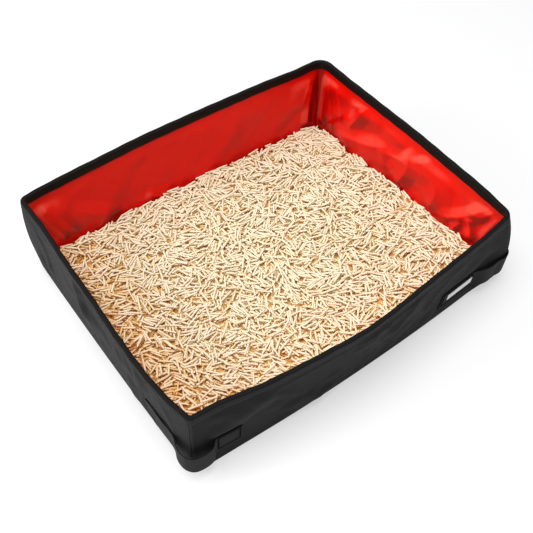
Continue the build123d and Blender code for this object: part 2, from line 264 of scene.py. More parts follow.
def newPiece(name, bm, finish, sharp=35):
    mesh = bpy.data.meshes.new(name)
    bm.to_mesh(mesh)
    bm.free()
    mesh.shade_smooth()
    mesh.set_sharp_from_angle(angle=math.radians(sharp))
    mesh.materials.append(finish)
    return show(name, mesh)


def fit(piece, slot, *nodes, body=None):  # its material's slot, which is not used, the part's nodes that it replaces, its body
    if nodes:
        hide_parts(*nodes)
    if body:
        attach(piece, body)


def mapCloth(bm, stretch=1):  # its sizes while it is flat become its UV map
    uv = bm.loops.layers.uv.new("cloth")
    for face in bm.faces:
        for loop in face.loops:
            loop[uv].uv = (loop.vert.co.x * stretch, loop.vert.co.y)


def placesOf(verts):
    return np.array([vert.co[:] for vert in verts])


def flatCloth(across, up, step, cuts=(), turns=(), stretch=1):  # a flat grid, cut along lines
    bm = bmesh.new()
    size = (across[1] - across[0], up[1] - up[0])
    columns, rows = (max(1, round(size[n] / step[n])) for n in (0, 1))
    bmesh.ops.create_grid(bm, x_segments=columns, y_segments=rows, size=0.5)
    bmesh.ops.scale(bm, vec=(size[0], size[1], 1), verts=bm.verts)
    bmesh.ops.translate(bm, vec=((across[0] + across[1]) / 2, (up[0] + up[1]) / 2, 0), verts=bm.verts)
    extra = [((place, 0), (1, 0), False) for place in turns]  # lines where the cloth turns a corner
    for point, away, clear in extra + [(*cut, True) for cut in cuts]:
        bmesh.ops.bisect_plane(bm, geom=bm.verts[:] + bm.edges[:] + bm.faces[:], plane_co=(*point, 0),
                               plane_no=(*away, 0), clear_outer=clear, dist=1e-6)
    mapCloth(bm, stretch)
    return bm


def cornerLines(wall, fine=6):
    inner = wall["half"] - tray["cornerZone"]
    steps = [inner + tray["cornerZone"] * n / fine for n in range(fine)]
    return [side * place for side in (-1, 1) for place in steps]


def setOn(bm, place, thick, recalculate=False):  # bends a flat cloth to its place and thickens it, inwards
    flat = placesOf(bm.verts)
    for vert, point in zip(bm.verts, place(flat[:, 0], flat[:, 1])):
        vert.co = point
    if recalculate:
        bmesh.ops.recalc_face_normals(bm, faces=bm.faces[:])
    bm.normal_update()
    bmesh.ops.solidify(bm, geom=bm.faces[:], thickness=thick)


def wallCuts(part, wallName):  # the sloping lines that part a short wall from its gussets
    (lowAcross, lowUp), (highAcross, highUp) = gussetLine["low"], gussetLine["high"]
    run, rise = highAcross - lowAcross, highUp - lowUp
    outwards = (rise, -run)  # away from the wall's middle, at its right end
    if part == "middle":
        return [((side * lowAcross, lowUp), (side * outwards[0], outwards[1])) for side in (-1, 1)]
    side = 1 if part == rightEnd[wallName] else -1
    return [((side * lowAcross, lowUp), (-side * outwards[0], -outwards[1]))]


print("geometry ready: wall", round(tray["wallThick"], 4), "half width", round(tray["halfWidth"], 4))


# Shader maths: values combine with + - and *, and any other node comes from Nodes.node
class Flow:
    def __init__(self, finish, socket):
        self.finish, self.socket = finish, socket

    def math(self, operation, first, second=0.0):
        return self.finish.node("ShaderNodeMath", {"operation": operation}, {0: first, 1: second})

    def __add__(self, other):
        return self.math("ADD", self, other)

    def __sub__(self, other):
        return self.math("SUBTRACT", self, other)

    def __rsub__(self, other):
        return self.math("SUBTRACT", other, self)

    def __mul__(self, other):
        return self.math("MULTIPLY", self, other)

    def sine(self):
        return self.math("SINE", self)

    __radd__ = __add__
    __rmul__ = __mul__


class Nodes:  # those of a material or of the world
    def __init__(self, owner):
        owner.use_nodes = True
        self.tree = owner.node_tree
        self.tree.nodes.clear()

    def node(self, kind, settings=None, inputs=None, output=0):
        made = self.tree.nodes.new(kind)
        for key, value in (settings or {}).items():
            if key == "stops":
                elements = made.color_ramp.elements
                while len(elements) < len(value):
                    elements.new(0.5)
                for element, (place, tint) in zip(elements, value):
                    element.position, element.color = place, tint
            else:
                setattr(made, key, value)
        for key, value in (inputs or {}).items():
            if isinstance(value, Flow):
                self.tree.links.new(value.socket, made.inputs[key])
            else:
                made.inputs[key].default_value = value
        return Flow(self, made.outputs[output]) if made.outputs else made


class Finish(Nodes):
    def __init__(self, name, **constants):
        self.material = bpy.data.materials.new(name)
        super().__init__(self.material)
        values = {socket.replace("_", " "): value for socket, value in constants.items()}
        self.shader = self.node("ShaderNodeBsdfPrincipled", inputs=values)
        end = self.node("ShaderNodeOutputMaterial", inputs={"Surface": self.shader})
        self.surface = end.inputs["Surface"]

    def feed(self, **flows):
        for name, flow in flows.items():
            self.tree.links.new(flow.socket, self.shader.socket.node.inputs[name.replace("_", " ")])

    def objectPlace(self):
        return self.node("ShaderNodeTexCoord", output="Object")

    def clothPlace(self):
        return self.node("ShaderNodeUVMap", {"uv_map": "cloth"})

    def parts(self, vector):
        split = self.node("ShaderNodeSeparateXYZ", inputs={0: vector}).socket.node
        return [Flow(self, split.outputs[n]) for n in range(3)]

    def noise(self, place, size, detail=2.0, rough=0.5):
        return self.node("ShaderNodeTexNoise", inputs={
            "Vector": place, "Scale": 1 / size, "Detail": detail, "Roughness": rough})

    def blendColours(self, share, first, second):
        return self.node("ShaderNodeMix", {"data_type": "RGBA"}, {0: share, 6: first, 7: second}, output=2)

    def bump(self, height, distance, strength=1.0, under=None):
        inputs = {"Height": height, "Distance": distance, "Strength": strength}
        if under:
            inputs["Normal"] = under
        return self.node("ShaderNodeBump", inputs=inputs)


def colour(red, green, blue):  # from the 0 to 255 values that a picture gives
    def linear(value):
        share = value / 255
        return share / 12.92 if share <= 0.04045 else ((share + 0.055) / 1.055) ** 2.4
    return (linear(red), linear(green), linear(blue), 1)


def weave(finish, pitch):  # plain weave, 0 in the gaps and 1 on the threads
    x, y, _ = finish.parts(finish.clothPlace())
    return (x * (math.pi / pitch)).sine() * (y * (math.pi / pitch)).sine() * 0.5 + 0.5


def outerClothFinish():
    settings = {
        "dark": colour(6, 6, 6), "light": colour(28, 27, 28), "pitch": 0.00075, "mottle": 0.004,
        "scuff": 0.05, "relief": 0.00018,
    }
    finish = Finish("outerCloth", Roughness=0.72, Specular_IOR_Level=0.14, Sheen_Weight=0.04,
                    Sheen_Roughness=0.35)
    place = finish.objectPlace()
    threads = weave(finish, settings["pitch"])
    mottle, scuff = (finish.noise(place, settings[size], 3) for size in ("mottle", "scuff"))
    share = threads * 0.35 + mottle * 0.4 + (scuff - 0.5) * 1.1 + 0.08
    finish.feed(
        Base_Color=finish.blendColours(share, settings["dark"], settings["light"]),
        Normal=finish.bump(threads + mottle * 0.6, settings["relief"], 0.8),
        Roughness=0.82 - threads * 0.16,
    )
    return finish.material


def tapeFinish(name, dark, light, pitch, gloss=0.14):  # ribs run across the tape
    finish = Finish(name, Roughness=0.6, Specular_IOR_Level=gloss)
    x, _, _ = finish.parts(finish.clothPlace())
    ribs = (x * (2 * math.pi / pitch)).sine() * 0.5 + 0.5
    mottle = finish.noise(finish.objectPlace(), 0.003, 3)
    finish.feed(
        Base_Color=finish.blendColours(ribs * 0.4 + mottle * 0.5, dark, light),
        Normal=finish.bump(ribs + mottle * 0.4, 0.00022, 0.8),
        Roughness=0.72 - ribs * 0.15,
    )
    return finish.material


def liningFinish():
    settings = {
        "pitch": 0.0006, "cloud": 0.03, "crumple": 0.012, "relief": 0.0012, "threadRelief": 0.00003,
        # The ramp runs from painted shade in creases and corners, through the lining's own red, to a painted
        # highlight on folds
        "stops": ((0, colour(140, 4, 2)), (0.26, colour(206, 8, 3)), (0.42, colour(231, 14, 5)),
                  (0.58, colour(236, 22, 11)), (1, colour(246, 84, 70))),
    }
    finish = Finish("coatedLining", Specular_IOR_Level=0.2)
    place = finish.objectPlace()
    cloud = finish.noise(place, settings["cloud"], 3)
    crumple = finish.noise(place, settings["crumple"], 4, 0.55)
    threads = weave(finish, settings["pitch"])
    # tilt carries the painted fold highlight and shade worked out in liningPiece
    tilt = finish.node("ShaderNodeAttribute", {"attribute_name": "tilt"}, output="Fac")
    share = tilt + (cloud - 0.5) * 0.1 + (threads - 0.5) * 0.03
    soft = finish.bump(crumple, settings["relief"], 0.10)
    finish.feed(
        Base_Color=finish.node("ShaderNodeValToRGB", {"stops": settings["stops"]}, {"Fac": share}),
        Roughness=0.22 + cloud * 0.14 + threads * 0.03,
        Normal=finish.bump(threads, settings["threadRelief"], 0.5, soft),
    )
    return finish.material


def labelFinish():
    dark, light, pitch, cloudSize = colour(226, 226, 228), colour(246, 246, 247), 0.0005, 0.006
    finish = Finish("plainLabel", Roughness=0.5, Sheen_Weight=0.2)
    threads = weave(finish, pitch)
    cloud = finish.noise(finish.objectPlace(), cloudSize, 2)
    finish.feed(
        Base_Color=finish.blendColours(threads * 0.5 + cloud * 0.4, dark, light),
        Normal=finish.bump(threads, 0.0001, 0.8),
    )
    return finish.material


def grainFinish(name, rough, dark, light, size, relief, strength):  # one grain all through, as in a board
    finish = Finish(name, Roughness=rough)
    grain = finish.noise(finish.objectPlace(), size, 4)
    finish.feed(Base_Color=finish.blendColours(grain, dark, light),
                Normal=finish.bump(grain, relief, strength))
    return finish.material


def stickFinish():
    settings = {
        # The low stops colour deep sticks and sticks near the left and front walls, as painted shade
        "stops": ((0, colour(206, 138, 58)), (0.3, colour(233, 197, 132)), (0.6, colour(241, 221, 177)),
                  (1, colour(247, 235, 206))),
        "grain": 0.0007, "cloud": 0.02, "relief": 0.0002,
    }
    finish = Finish("pressedSticks", Specular_IOR_Level=0.35)
    tone = finish.node("ShaderNodeAttribute", {"attribute_name": "tone"}, output="Fac")
    place = finish.objectPlace()
    grain = finish.noise(place, settings["grain"], 3, 0.6)
    cloud = finish.noise(place, settings["cloud"], 2)
    share = tone + (grain - 0.5) * 0.25 + (cloud - 0.5) * 0.2
    finish.feed(
        Base_Color=finish.node("ShaderNodeValToRGB", {"stops": settings["stops"]}, {"Fac": share}),
        Roughness=0.52 + grain * 0.25,
        Normal=finish.bump(grain, settings["relief"], 0.6),
    )
    return finish.material


def floorFinish():
    finish = Finish("paleFloor", Roughness=0.9, Specular_IOR_Level=0.1, Base_Color=(0.93, 0.932, 0.936, 1))
    glow = finish.node("ShaderNodeEmission", inputs={"Color": (1, 1, 1, 1), "Strength": 1.0})
    seen = finish.node("ShaderNodeLightPath", output="Is Camera Ray") * 0.5
    mixed = finish.node("ShaderNodeMixShader", inputs={0: seen, 1: finish.shader, 2: glow})
    finish.tree.links.new(mixed.socket, finish.surface)
    return finish.material


finishes = {
    "cloth": outerClothFinish(),
    "binding": tapeFinish("rimTape", colour(11, 10, 10), colour(24, 21, 20), 0.0011),
    "seam": tapeFinish("seamTape", colour(22, 22, 24), colour(44, 44, 46), 0.0009),
    "webbing": tapeFinish("strapWebbing", colour(11, 10, 10), colour(29, 27, 27), 0.0013),
    # near-black stitching round the strap patches: partly real stitching, partly painted shadow of its groove
    "stitchAndShadow": tapeFinish("stitchWithPaintedShadow", colour(1, 1, 1), colour(3, 3, 3), 0.0006, 0.02),
    "stitch": tapeFinish("tapeThread", colour(58, 56, 54), colour(96, 92, 89), 0.0006),
    "lining": liningFinish(),
    "label": labelFinish(),
    "board": grainFinish("stiffBoard", 0.6, colour(120, 116, 108), colour(160, 156, 148), 0.002, 0.0002, 0.5),
    "sticks": stickFinish(),
    # the litter core under the sticks is browner than them: painted shade of the deep gaps
    "bed": grainFinish("litterCoreWithPaintedShade", 0.8, colour(182, 126, 58), colour(232, 186, 116), 0.004, 0.002, 1.0),
}
print("finishes made")

# Outer cloth
outerCloth = {
    "low": tray["hem"] * (1 - math.pi / 2), "top": tray["rim"] - 0.0014, "step": (0.0045, 0.0045),
    "wave": 0.0016, "waveSizes": (12, 0.03, 0.16),
    "calmFloor": (0.002, 0.03), "calmRim": (0.004, 0.03), "calmEnd": (0.004, 0.04),  # where its waves begin
    "name": "Outer", "gusset": "GussetCloth", "corner": "BaseCorner", "slot": "woven_outer",
    "node": "outer_panel", "gussetNode": "gusset_outer", "gussetRests": "{wall}_board",
}
clothWaves = {
    name: Waves(20 + n, *outerCloth["waveSizes"], outerCloth["wave"]) for n, name in enumerate(walls)}
clothFolds = {
    "front": [
        softFold(1.6, 6, (2, 20), (4, 60), (1, 100), (-6, 137)),
        softFold(1.8, 6, (17, 20), (19, 60), (17, 100), (20, 137)),
        softFold(2.2, 9, (-200, 130), (-150, 100), (-100, 50), (-70, 15)),
        softFold(2, 8, (90, 128), (50, 90), (30, 40)),
        softFold(1.8, 8, (200, 128), (140, 100), (100, 40)),
        softFold(1.3, 2.8, (-245, 118), (-100, 123), (100, 123), (255, 118)),
    ],
    "left": [
        softFold(2, 7, (-190, 128), (-165, 90), (-155, 30)),
        softFold(2.4, 12, (-80, 130), (-20, 80), (0, 20)),
        softFold(2, 9, (60, 130), (100, 90), (120, 30)),
        softFold(1.8, 6, (160, 130), (178, 90), (190, 40)),
    ],
    "right": [softFold(2.2, 10, (-100, 130), (0, 80), (80, 20))],
    "rear": [
        softFold(1.6, 6, (-12, 20), (-10, 80), (-12, 137)),
        softFold(2, 9, (-200, 130), (-120, 70), (-80, 20)),
    ],
}
sewnOn = {  # where straps are sewn on: across each wall, and their height
    "places": {"front": ((-0.246, -0.2075), (0.152, 0.222)), "left": ((0.1195, 0.1335),),
               "right": ((-0.1335, -0.1195),)},
    "low": 0.0315, "high": 0.0685, "fade": (0.001, 0.014),
}
bendSpread = {"long": 0.007, "short": 0.0045, "gusset": (0.004, 0.012)}


def puff(height, softness=0.0004):  # keeps a wave on one side of the board under it
    return (height + np.sqrt(height * height + softness * softness)) / 2


def looseness(wallName, across, up):  # nothing where a strap is sewn on, one elsewhere
    beside = np.full(np.shape(across), 1.0)
    for first, last in sewnOn["places"].get(wallName, ()):
        beyond = np.maximum(first - across, across - last)
        away = np.maximum(beyond, np.maximum(sewnOn["low"] - up, up - sewnOn["high"]))
        beside = np.minimum(beside, smoothStep(*sewnOn["fade"], away))
    return beside


def clothPlace(wallName):
    wall, hem = walls[wallName], tray["hem"]

    def place(across, up):
        turn = np.clip((hem - up) / hem, 0, math.pi / 2)
        z = np.where(up < hem, hem * (1 - np.sin(turn)), up)
        calm = smoothStep(*outerCloth["calmFloor"], z) * smoothStep(*outerCloth["calmRim"], tray["rim"] - z)
        calm = calm * smoothStep(*outerCloth["calmEnd"], wall["half"] - np.abs(across))
        wave = puff(clothWaves[wallName].at(across, z))
        wave = wave + sum(foldRise(fold, across, z) for fold in clothFolds[wallName])
        wave = wave * calm * looseness(wallName, across, z)
        return onWall(wall, across, z, hem * (1 - np.cos(turn)) - wave)
    return place


def blendUp(piece, wallName):  # bakes a piece's place into its mesh; it is not bent about the fold line
    spread = Vector((0, 0, bendSpread["long" if wallName in longWalls else "short"]))
    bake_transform(piece)


def blendCorner(piece):  # bakes a gusset's piece's place into its mesh; it is not bent round the corner from its long wall
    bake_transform(piece)


def cornerName(wallName, endName):
    return f"{endName}{wallName.capitalize()}"


def wallEnds(wallName):  # each end of a short wall: the long wall there, and the side seen from outside
    return [(endName, 1 if endName == rightEnd[wallName] else -1) for endName in longWalls]


def clothPiece(name, wallName, across, up, place, cuts=(), step=outerCloth["step"], thick=tray["clothThick"],
               finish="cloth"):
    bm = flatCloth(sorted(across), up, step, cuts, cornerLines(walls[wallName]))
    setOn(bm, place, thick)
    return newPiece(name, bm, finishes[finish])


def declareSheet(across, up, area):  # works out the cut's width and height from across and up, and keeps neither
    abs(across[1] - across[0])
    up[1] - up[0]


gussetSlope = (gussetLine["low"][0] - gussetLine["high"][0]) / (gussetLine["high"][1] - gussetLine["low"][1])


def middleHalf(up):  # half the width of a short wall's own cloth at a height
    return gussetLine["low"][0] - gussetSlope * (up - gussetLine["low"][1])


def middleArea(up):
    return (middleHalf(up[0]) + middleHalf(up[1])) * (up[1] - up[0])


def gussetArea(half, up):
    return (2 * half - middleHalf(up[0]) - middleHalf(up[1])) / 2 * (up[1] - up[0])


def layWalls(layer, makePiece):  # a layer of cloth on each wall and gusset, and on the base's corner returns
    returns = []
    for wallName in longWalls + shortWalls:
        half, isLong = walls[wallName]["half"], wallName in longWalls
        across, up = (-half, half), (layer["low"], layer["top"])
        cuts = () if isLong else wallCuts("middle", wallName)
        piece = makePiece(f"{wallName}{layer['name']}Cloth", wallName, across, up, cuts)
        blendUp(piece, wallName)
        fit(piece, layer["slot"], f"{wallName}_{layer['node']}")
        area = 2 * half * (up[1] - up[0]) if isLong else middleArea(up)
        declareSheet(across, up, area)
        for endName, side in () if isLong else wallEnds(wallName):
            corner, cuts = cornerName(wallName, endName), wallCuts(endName, wallName)
            across = (side * gussetLine["high"][0] * 0.8, side * half)
            up = (gussetLine["cornerTop"], layer["top"])
            piece = makePiece(f"{corner}{layer['gusset']}", wallName, across, up, cuts)
            blendCorner(piece)
            fit(piece, layer["slot"], f"{endName}_{wallName}_{layer['gussetNode']}")
            declareSheet(across, up, gussetArea(half, up))
            across = (side * gussetLine["low"][0] * 0.9, side * half)
            up = (layer["low"], gussetLine["cornerTop"])
            piece = makePiece(f"{corner}{layer['corner']}", wallName, across, up, cuts)
            fit(piece, layer["slot"], body="base")
            returns.append(piece)
    return returns


def outerPiece(name, wallName, across, up, cuts):
    return clothPiece(name, wallName, across, up, clothPlace(wallName), cuts)


baseCorners = layWalls(outerCloth, outerPiece)
print("outer cloth made")


# The cloth under the base, a ring that follows all four walls
def ringOf(points, up, depth):  # points round the tray, at one height and depth
    ring = []
    for wall in walls.values():
        across = np.linspace(-wall["half"], wall["half"], points, endpoint=False)
        ring.append(onWall(wall, across, np.full(points, up), np.full(points, depth)))
    return np.concatenate(ring)


def ringPlate(name, layer, node, up, depth, thick, finish, points=48):
    bm = bmesh.new()
    bmesh.ops.create_circle(bm, cap_ends=True, segments=points * 4, radius=1)
    corners = sorted(bm.verts, key=lambda vert: math.atan2(vert.co.y, vert.co.x))
    ring = ringOf(points, up, depth)
    for vert, n in zip(corners, np.argsort(np.arctan2(ring[:, 1], ring[:, 0]))):
        vert.co = ring[n]
    bmesh.ops.recalc_face_normals(bm, faces=bm.faces[:])
    for face in bm.faces:
        if face.normal.z < 0:
            face.normal_flip()
    mapCloth(bm)
    bmesh.ops.solidify(bm, geom=bm.faces[:], thickness=thick)
    piece = newPiece(name, bm, finishes[finish])
    fit(piece, layer["slot"], node, body="base")


ringPlate("baseCloth", outerCloth, "base_outer", tray["clothThick"], tray["hem"], tray["clothThick"],
          "cloth")

# Lining, which lies against the boards and has folds. A fold's points run along and up its wall, seen from
# outside, and its height is how far it stands into the tray
lining = {
    "step": (0.0022, 0.0022), "low": tray["floor"] + 0.0008, "top": tray["rim"] - 0.006,
    "depth": tray["wallThick"] - tray["liningThick"], "roundness": 0.68,
    "wave": {"front": 0.0022, "right": 0.0014, "rear": 0.0012, "left": 0.0025}, "most": 0.0105,
    "crease": {"front": 0.0022, "right": 0.0016, "rear": 0.0006, "left": 0.0028},
    "calmFloor": (0.004, 0.014), "calmRim": (0.0125, 0.042), "calmEnd": (0.0015, 0.014), "onGusset": 0.42,
    # From here to cornerReach: painted light on the lining, highlight and shade from each fold's slope, and
    # painted shade in the corners
    "tilt": 0.42, "look": 0.0012, "paintedFoldLight": (1.1, 1.25), "underTape": (0.012, 0.034),
    "cornerShade": 0.36, "cornerReach": 0.012,
    "name": "Lining", "gusset": "GussetLining", "corner": "BaseLining", "slot": "coated_lining",
    "node": "lining", "gussetNode": "gusset_lining", "gussetRests": "{corner}GussetCloth",
}


def sharpFold(height, width, *points, **shape):
    return softFold(height, width, *points, sharp=True, scale=0.9655, **shape)


folds = {
    "rear": [
        sharpFold(7.8, 8, (264, 134), (254, 112), (241, 94), (229, 68), (212, 30), lean=1.8),
        sharpFold(7, 12, (250, 130), (217, 88), (178, 58), (130, 30), lean=1.8),
        sharpFold(6, 5, (268, 121), (252, 81), (243, 58), (236, 30)),
        sharpFold(1.8, 24, (188, 140), (170, 108), (120, 60)),
        sharpFold(2, 26, (-20, 150), (-53, 108), (-125, 60)),
        sharpFold(3, 10, (90, 40), (60, 27), (30, 22)),
        sharpFold(4, 10, (-269, 135), (-254, 103), (-240, 60), lean=2),
        sharpFold(2, 24, (-120, 130), (-180, 90), (-220, 40)),
        sharpFold(6, 8, (-266, 120), (-259, 70), (-255, 20), fade=0.15),
    ],
    "right": [
        sharpFold(6.1, 10, (208, 142), (196, 108), (183, 73), (163, 20), lean=2),
        sharpFold(5.4, 12, (195, 141), (168, 105), (151, 61)),
        sharpFold(8.1, 8, (206, 120), (204, 70), (201, 20), fade=0.15),
        sharpFold(4.7, 12, (150, 110), (100, 133), (57, 145), lean=2),
        sharpFold(7.4, 14, (166, 33), (120, 50), (78, 67), (29, 96), lean=1.8),
        sharpFold(6.1, 14, (1, 118), (-18, 100), (-11, 63), (5, 30), lean=1.6),
        sharpFold(8.1, 22, (-40, 135), (-55, 118), (-86, 88), (-74, 30), lean=1.4),
        sharpFold(4.7, 12, (60, 72), (31, 83), (-25, 96), (-81, 106), lean=2),
        sharpFold(6.8, 10, (-99, 42), (-126, 65), (-155, 90), (-174, 116), (-195, 144)),
        sharpFold(6.1, 7, (-155, 90), (-165, 73), (-173, 44)),
        sharpFold(4.7, 6, (-202, 142), (-186, 120), (-172, 104), (-146, 98)),
        sharpFold(4.7, 5, (-205, 132), (-197, 108), (-189, 82), (-181, 50)),
        sharpFold(4.1, 6, (-150, 72), (-138, 52), (-134, 30)),
        sharpFold(4.1, 12, (100, 140), (120, 95), (135, 60)),
    ],
    "left": [
        softFold(4, 8, (-140, 140), (-100, 90), (-20, 40)),
        softFold(4, 7, (150, 130), (100, 80), (60, 30)),
    ],
    "front": [
        softFold(3.5, 10, (-200, 130), (-120, 90), (-50, 40)),
        softFold(3.5, 9, (220, 130), (130, 80), (80, 40)),
    ],
}
liningWaves = {name: Waves(40 + n, 10, 0.05, 0.2, lining["wave"][name]) for n, name in enumerate(walls)}
creases = {name: Creases(60 + n, 6, 0.13, 0.30, lining["crease"][name]) for n, name in enumerate(walls)}


def liningRise(wallName, across, up):  # how far the lining stands into the tray
    rise = puff(liningWaves[wallName].at(across, up) * 0.5) + creases[wallName].at(across, up)
    rise = rise + sum(foldRise(fold, across, up) for fold in folds[wallName])
    calm = smoothStep(*lining["calmRim"], tray["rim"] - up) * smoothStep(*lining["calmFloor"], up)
    calm = calm * smoothStep(*lining["calmEnd"], walls[wallName]["half"] - np.abs(across))
    return lining["most"] * np.tanh(rise * calm / lining["most"])


def liningPlace(wallName):
    wall = walls[wallName]

    def place(across, up):
        radius = cornerRadius(wall, across, up) * lining["roundness"]
        rise = liningRise(wallName, across, up)
        if wallName in shortWalls:  # lower on the gussets, which fold away behind the long walls
            onGusset = smoothStep(-0.012, 0.004, np.abs(across) - middleHalf(up))
            rise = rise * (1 - onGusset * (1 - lining["onGusset"]))
        return onWall(wall, across, up, lining["depth"] + rise, radius)
    return place


def liningPiece(name, wallName, across, up, cuts):
    piece = clothPiece(name, wallName, across, up, liningPlace(wallName), cuts, lining["step"],
                       tray["liningThick"], "lining")
    mesh = piece.data
    corner = np.zeros(len(mesh.loops), dtype=np.int32)
    flat = np.zeros(len(mesh.loops) * 2, dtype=np.float32)
    mesh.loops.foreach_get("vertex_index", corner)
    mesh.uv_layers["cloth"].data.foreach_get("uv", flat)
    at = np.zeros((len(mesh.vertices), 2))
    at[corner] = flat.reshape(-1, 2)
    x, z, reach = at[:, 0], at[:, 1], lining["look"]
    climb = (liningRise(wallName, x, z + reach) - liningRise(wallName, x, z - reach)) / (2 * reach)
    climb = climb * smoothStep(*lining["underTape"], tray["rim"] - z)  # no painted highlight or shade from the slope where it is sewn under the tape
    turn = (liningRise(wallName, x + reach, z) - liningRise(wallName, x - reach, z)) / (2 * reach)
    # painted shade, darker towards each corner of the wall
    shade = lining["cornerShade"] * np.exp((np.abs(x) - walls[wallName]["half"]) / lining["cornerReach"])
    shade = shade + climb * lining["paintedFoldLight"][0] + turn * lining["paintedFoldLight"][1]
    tilt = mesh.attributes.new("tilt", "FLOAT", "POINT")  # painted highlight where a fold faces up and where it faces the side lamp, painted shade where it faces away and in the corners
    tilt.data.foreach_set("value", np.clip(lining["tilt"] - shade, 0, 1))
    return piece


liningCorners = layWalls(lining, liningPiece)
ringPlate("floorLining", lining, "lining_floor", lining["low"] + tray["liningThick"],
          tray["wallThick"] - 0.0004, tray["liningThick"], "lining")
print("lining made")

# Boards between the cloths, split where the base folds like a book
board = {
    "thick": 0.0024, "depth": 0.0016, "top": tray["rim"] - 0.0053, "step": (0.006, 0.006),
    "inset": 0.014, "slit": 0.0025, "slitAt": 0.0101 - tray["middle"].x,
    "short": 0.008,  # how far the mitre of a short wall's board lies inside its gusset's line
}


def boardPlace(wallName):
    return lambda across, up: onWall(walls[wallName], across, up, board["depth"])


for wallName in longWalls:
    wall = walls[wallName]
    up = (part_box(f"{wallName}_board_left")[0].z, board["top"])
    slit, end = board["slitAt"] * wall["along"][0], wall["half"] - board["inset"]
    for name in ("left", "right"):
        atLeft = (name == "left") == (wall["along"][0] > 0)
        across = (-end, slit - board["slit"]) if atLeft else (slit + board["slit"], end)
        piece = clothPiece(f"{wallName}{name.capitalize()}Board", wallName, across, up, boardPlace(wallName),
                           thick=board["thick"], finish="board")
        fit(piece, "board", f"{wallName}_board_{name}", body=f"{wallName}_wall")
for wallName in shortWalls:
    up, run = (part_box(f"{wallName}_board")[0].z, board["top"]), gussetLine["low"][0]
    bm = flatCloth((-run, run), up, board["step"], [
        ((across - math.copysign(board["short"], across), height), away)
        for (across, height), away in wallCuts("middle", wallName)])
    setOn(bm, boardPlace(wallName), board["thick"])
    piece = newPiece(f"{wallName}Board", bm, finishes["board"])
    fit(piece, "board", f"{wallName}_board", body=f"{wallName}_wall")
for name in ("base_board_left", "base_board_right"):
    frame["nodes"][name].data.materials.clear()
    frame["nodes"][name].data.materials.append(finishes["board"])
print("boards made")

# Rim binding: tape folded over the top edge, down both sides
binding = {
    "drop": 0.014, "outer": -0.0011, "inner": 0.0062, "round": 0.0024, "thick": 0.0009, "turns": 6,
    "step": (0.005, 0.0008), "ripple": (0.00025, 160, 90), "rippleEnd": (0.004, 0.02),
    "stitch": 0.0048, "stitchUp": 0.0028, "stitchHalf": 0.0003, "stitchThick": 0.0005,
    "stitchOver": {"Outer": 0.0003, "Inner": -0.0002},  # a stitch is thickened towards the tray's middle
    "gussetLength": 0.13, "shortLength": 0.18,
}


def tapeProfile():  # the run along the tape's surface, from outside to inside, and its depth and height
    outer, inner, radius, top = binding["outer"], binding["inner"], binding["round"], tray["rim"]
    points = [(outer, top - binding["drop"])]
    for centre, start in ((outer + radius, math.pi), (inner - radius, math.pi / 2)):
        for n in range(binding["turns"] + 1):
            angle = start - n / binding["turns"] * math.pi / 2
            points.append((centre + radius * math.cos(angle), top - radius + radius * math.sin(angle)))
    points = np.array(points + [(inner, top - binding["drop"])])
    return runAlong(points), points[:, 0], points[:, 1]


def runAlong(points):  # distance from the first point to each
    return np.concatenate([[0], np.cumsum(np.hypot(*np.diff(points, axis=0).T))])


tapeRun, tapeDepth, tapeUp = tapeProfile()


def onTape(wallName, across, run, over=0.0):  # a point on the tape, over metres above its surface
    depth, up = np.interp(run, tapeRun, tapeDepth), np.interp(run, tapeRun, tapeUp)
    height, byAcross, byRun = binding["ripple"]
    ripple = height * np.sin(across * byAcross + run * byRun)
    ripple = ripple * smoothStep(*binding["rippleEnd"], walls[wallName]["half"] - np.abs(across))
    outside = np.where(run < tapeRun[-1] / 2, -1, 1)
    return onWall(walls[wallName], across, up, depth + ripple + outside * over)


def bindingPlace(wallName, limits):
    def place(share, run):
        low, high = limits(np.interp(run, tapeRun, tapeUp))
        return onTape(wallName, low + (high - low) * share, run)
    return place


def stitching(name, wallName, limits):  # two rows of stitches, near the tape's outer and inner edges
    pieces = []
    half, part = binding["stitchHalf"], binding["stitch"] / 3
    low, high = limits(tray["rim"] - binding["drop"] + binding["stitchUp"])
    for row, run in (("Outer", binding["stitchUp"]), ("Inner", tapeRun[-1] - binding["stitchUp"])):
        bm = flatCloth((low + 0.001, high - 0.001), (run - half, run + half), (part, 0.001))
        gaps = [face for face in bm.faces if int((face.calc_center_median().x - low) / part) % 3 == 2]
        bmesh.ops.delete(bm, geom=gaps, context="FACES")
        over = binding["stitchOver"][row]
        setOn(bm, lambda across, run: onTape(wallName, across, run, over), binding["stitchThick"])
        pieces.append(newPiece(f"{name}{row}Stitches", bm, finishes["stitch"]))
    return pieces


def bindingPiece(name, wallName, limits, length):
    low, high = limits(tray["rim"])
    turns = [(line - low) / (high - low) for line in cornerLines(walls[wallName])]
    turns = [share for share in turns if 0.001 < share < 0.999]
    step = (binding["step"][0] / length, binding["step"][1])
    bm = flatCloth((0, 1), (0, tapeRun[-1]), step, turns=turns, stretch=length)
    setOn(bm, bindingPlace(wallName, limits), binding["thick"])
    return newPiece(name, bm, finishes["binding"])


def bindStretch(name, rowName, wallName, limits, length, node, hold):  # tape and stitches on a stretch of rim
    tape = bindingPiece(f"{name}Binding", wallName, limits, length)
    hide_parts(node)
    for piece in [tape] + stitching(rowName, wallName, limits):
        hold(piece)
        fit(piece, "rim_tape")


